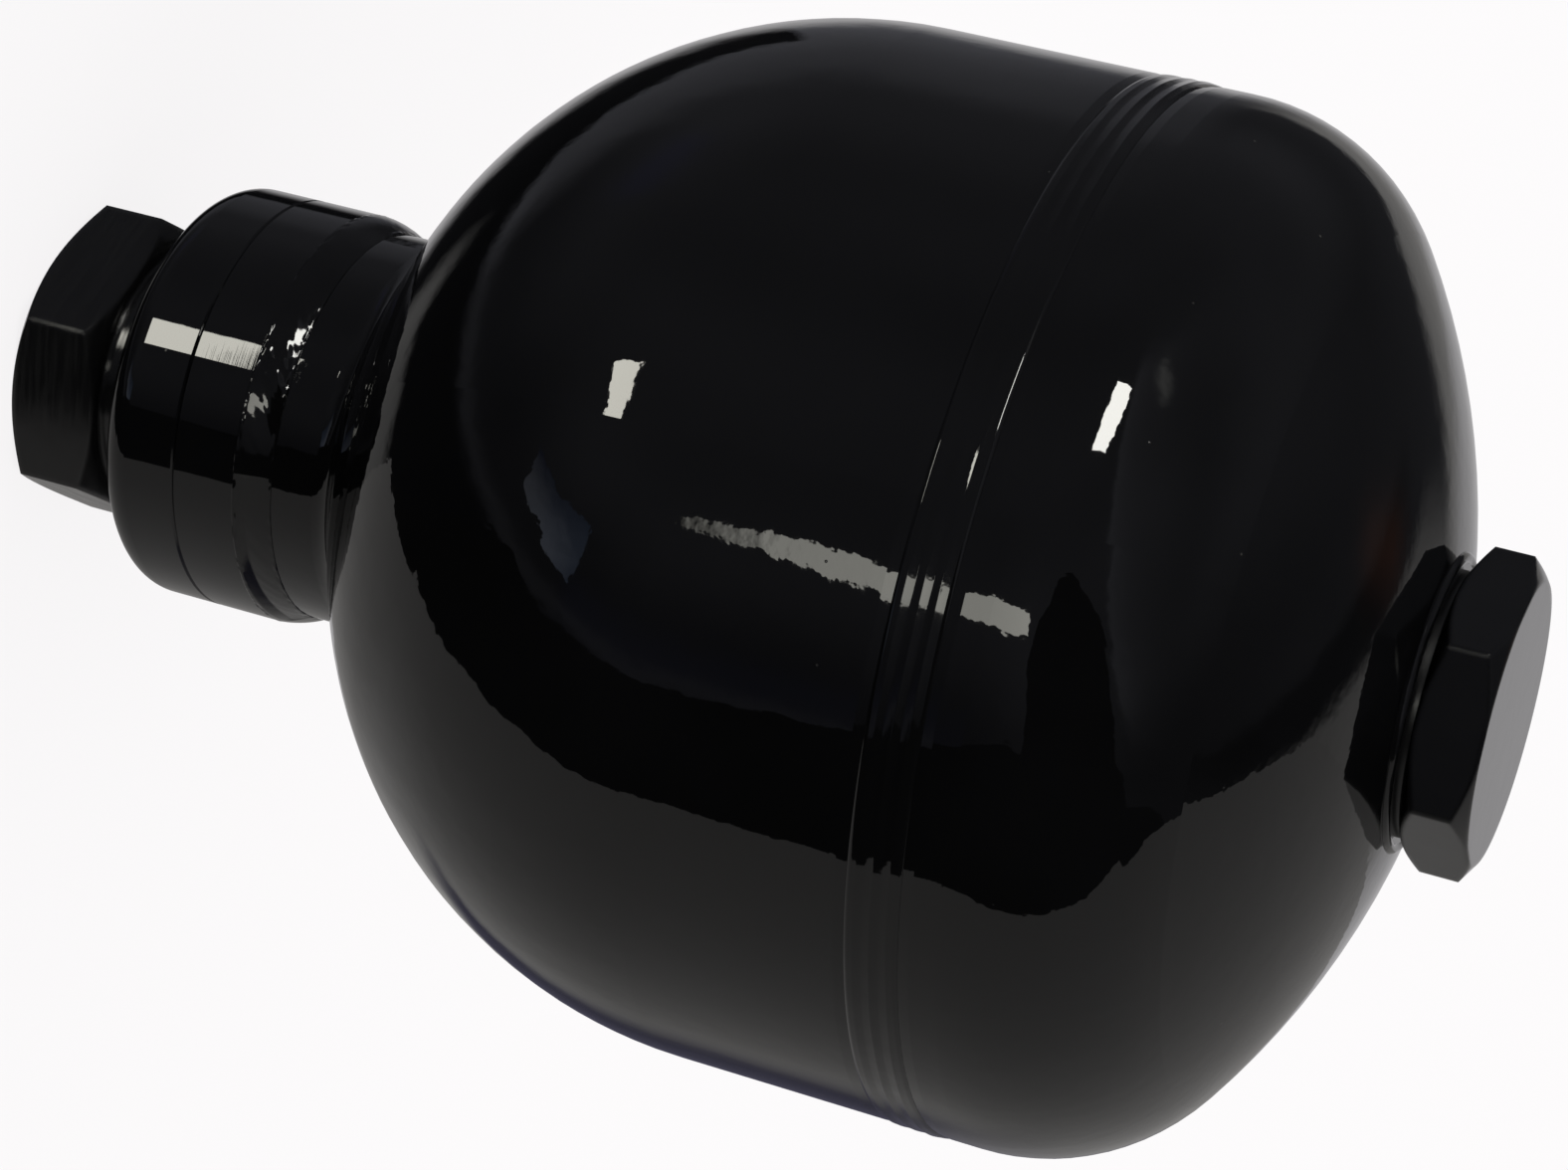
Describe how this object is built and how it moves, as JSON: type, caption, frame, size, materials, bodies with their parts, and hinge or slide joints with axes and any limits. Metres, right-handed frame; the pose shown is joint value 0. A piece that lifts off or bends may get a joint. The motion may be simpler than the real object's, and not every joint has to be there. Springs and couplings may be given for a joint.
{
  "type": "bladder accumulator",
  "caption": "Small hydraulic accumulator: welded pressure shell of two drawn steel halves, fluid port neck with a hexagon adapter, rubber separator inside and a hexagon gas plug.",
  "frame": {"origin": "centre of the fluid port's end face, on which the part stands", "axes": "+Z along the axis from the fluid port to the gas plug; two corners of the port's hexagon lie on +X and -X"},
  "size_m": [0.1218, 0.1218, 0.1786],
  "materials": {
    "shell_enamel": "gloss black enamel over drawn steel, mirror-like, slightly rippled",
    "weld_enamel": "gloss black enamel over weld beads",
    "fitting_enamel": "gloss to satin black enamel over turned steel",
    "plain_steel": "turned or drawn steel, bare, inside the shell",
    "seal_steel": "black-coated steel ring of a bonded seal",
    "bladder_rubber": "moulded nitrile rubber, matt",
    "seal_rubber": "nitrile rubber, matt"
  },
  "bodies": {
    "accumulator": {"fluid_shell": "shell_enamel", "gas_shell": "shell_enamel", "seam_weld": "weld_enamel", "port_neck": "fitting_enamel", "neck_weld": "weld_enamel", "port_adapter": "fitting_enamel", "port_seal": "seal_rubber", "bladder": "bladder_rubber", "clamp_ring": "plain_steel", "backing_ring": "plain_steel", "gas_boss": "fitting_enamel", "boss_weld": "weld_enamel", "gas_plug": "fitting_enamel", "seal_washer": "seal_steel", "seal_lip": "seal_rubber"},
    "separator": {"button": "plain_steel"}
  },
  "joints": [
    {"name": "button_lift", "type": "slide", "parent": "accumulator", "child": "separator", "axis": [0, 0, 1], "range_m": [0, 0.065], "deforming": ["bladder"]}
  ]
}
